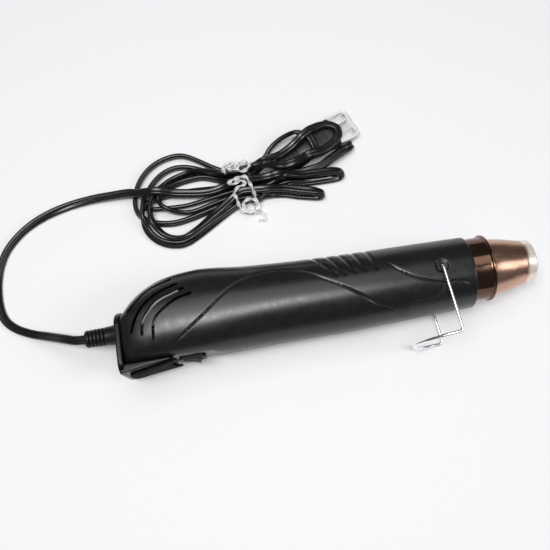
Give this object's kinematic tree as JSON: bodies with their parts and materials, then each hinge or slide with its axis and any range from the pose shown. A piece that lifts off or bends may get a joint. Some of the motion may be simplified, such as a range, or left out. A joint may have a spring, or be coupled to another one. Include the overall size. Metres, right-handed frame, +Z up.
{
  "type": "heat gun",
  "caption": "Slim craft heat gun on its side: split shell, heel switch, swinging wire stand, metal nozzle, bundled flat lead with plug",
  "frame": {"origin": "centre of the bottom of the gun's box as it lies on its side, without the loose lead", "axes": "+X along the barrel towards the nozzle, +Y towards the thumb side, -Y towards the stand and heel, +Z up, out of the right-hand shell"},
  "size_m": [0.3182, 0.1633, 0.0464],
  "materials": {
    "housing": "satin black moulding with soft broad highlights",
    "heel": "satin black moulding",
    "sole": "dull black pad",
    "boot": "ribbed soft black boot",
    "switch": "glossy black",
    "cord": "smooth black flat two-core sheath with soft sheen",
    "plug": "moulded black, slightly textured",
    "clear_plastic": "clear, glossy",
    "chrome": "bright plated wire",
    "copper_metal": "polished copper-coloured plating, pale at the rim",
    "bronze_metal": "polished dark bronze plating",
    "steel": "zinc plated",
    "brass": "bright, slightly tarnished",
    "mica": "pale layered sheet",
    "nichrome": "dull oxidised wire",
    "board": "lacquered laminate",
    "moulded_part": "plain black moulding",
    "capacitor": "blue shrink sleeve",
    "fan_plastic": "natural nylon",
    "wire_red": "insulated wire",
    "wire_blue": "insulated wire"
  },
  "bodies": {
    "gun_body": {"housing_right": "housing", "housing_left": "housing", "heel_cover": "heel", "sole_plate": "sole", "strain_relief": "boot", "cord_tail": "cord", "cord_clamp": "moulded_part", "clamp_screw_1": "steel", "clamp_screw_2": "steel", "housing_screw_1": "steel", "housing_screw_2": "steel", "housing_screw_3": "steel", "housing_screw_4": "steel", "heel_screw_1": "steel", "heel_screw_2": "steel", "switch_body": "switch", "switch_terminal_1": "brass", "switch_terminal_2": "brass", "rectifier_board": "board", "rectifier_diode_1": "moulded_part", "rectifier_diode_2": "moulded_part", "rectifier_diode_3": "moulded_part", "rectifier_diode_4": "moulded_part", "filter_capacitor": "capacitor", "motor_case": "steel", "motor_brush_tab_1": "brass", "motor_brush_tab_2": "brass", "motor_bracket": "moulded_part", "motor_screw_1": "steel", "motor_screw_2": "steel", "mica_tube": "mica", "former_plate_1": "mica", "former_plate_2": "mica", "dropper_coil": "nichrome", "heater_coil": "nichrome", "thermal_fuse": "steel", "front_insulator": "mica", "collar": "bronze_metal", "nozzle": "copper_metal", "lead_live": "wire_red", "lead_neutral": "wire_blue", "lead_switched": "wire_red", "heater_lead_1": "wire_blue", "heater_lead_2": "wire_red", "cord_run": "cord", "cord_hank": "cord", "cord_tie": "clear_plastic", "plug_body": "plug", "plug_pin_1": "brass", "plug_pin_2": "brass"},
    "rotor": {"fan": "fan_plastic", "motor_shaft": "steel"},
    "rocker": {"switch_rocker": "switch"},
    "stand": {"stand_wire": "chrome"},
    "cap": {"pin_cap": "clear_plastic"}
  },
  "joints": [
    {"name": "stand_swing", "type": "hinge", "parent": "gun_body", "child": "stand", "pos_m": [0.073, 0.0078, 0.0232], "axis": [0, 0, 1], "range_deg": [-27, 91]},
    {"name": "fan_spin", "type": "hinge", "parent": "gun_body", "child": "rotor", "pos_m": [0.02, 0.0063, 0.0232], "axis": [1, 0, 0], "continuous": true},
    {"name": "switch_rock", "type": "hinge", "parent": "gun_body", "child": "rocker", "pos_m": [-0.0712, -0.017, 0.0232], "axis": [0, 0, 1], "range_deg": [0, 20]},
    {"name": "cap_slide", "type": "slide", "parent": "gun_body", "child": "cap", "axis": [0.9285, 0.3714, 0], "range_m": [0, 0.016]}
  ]
}
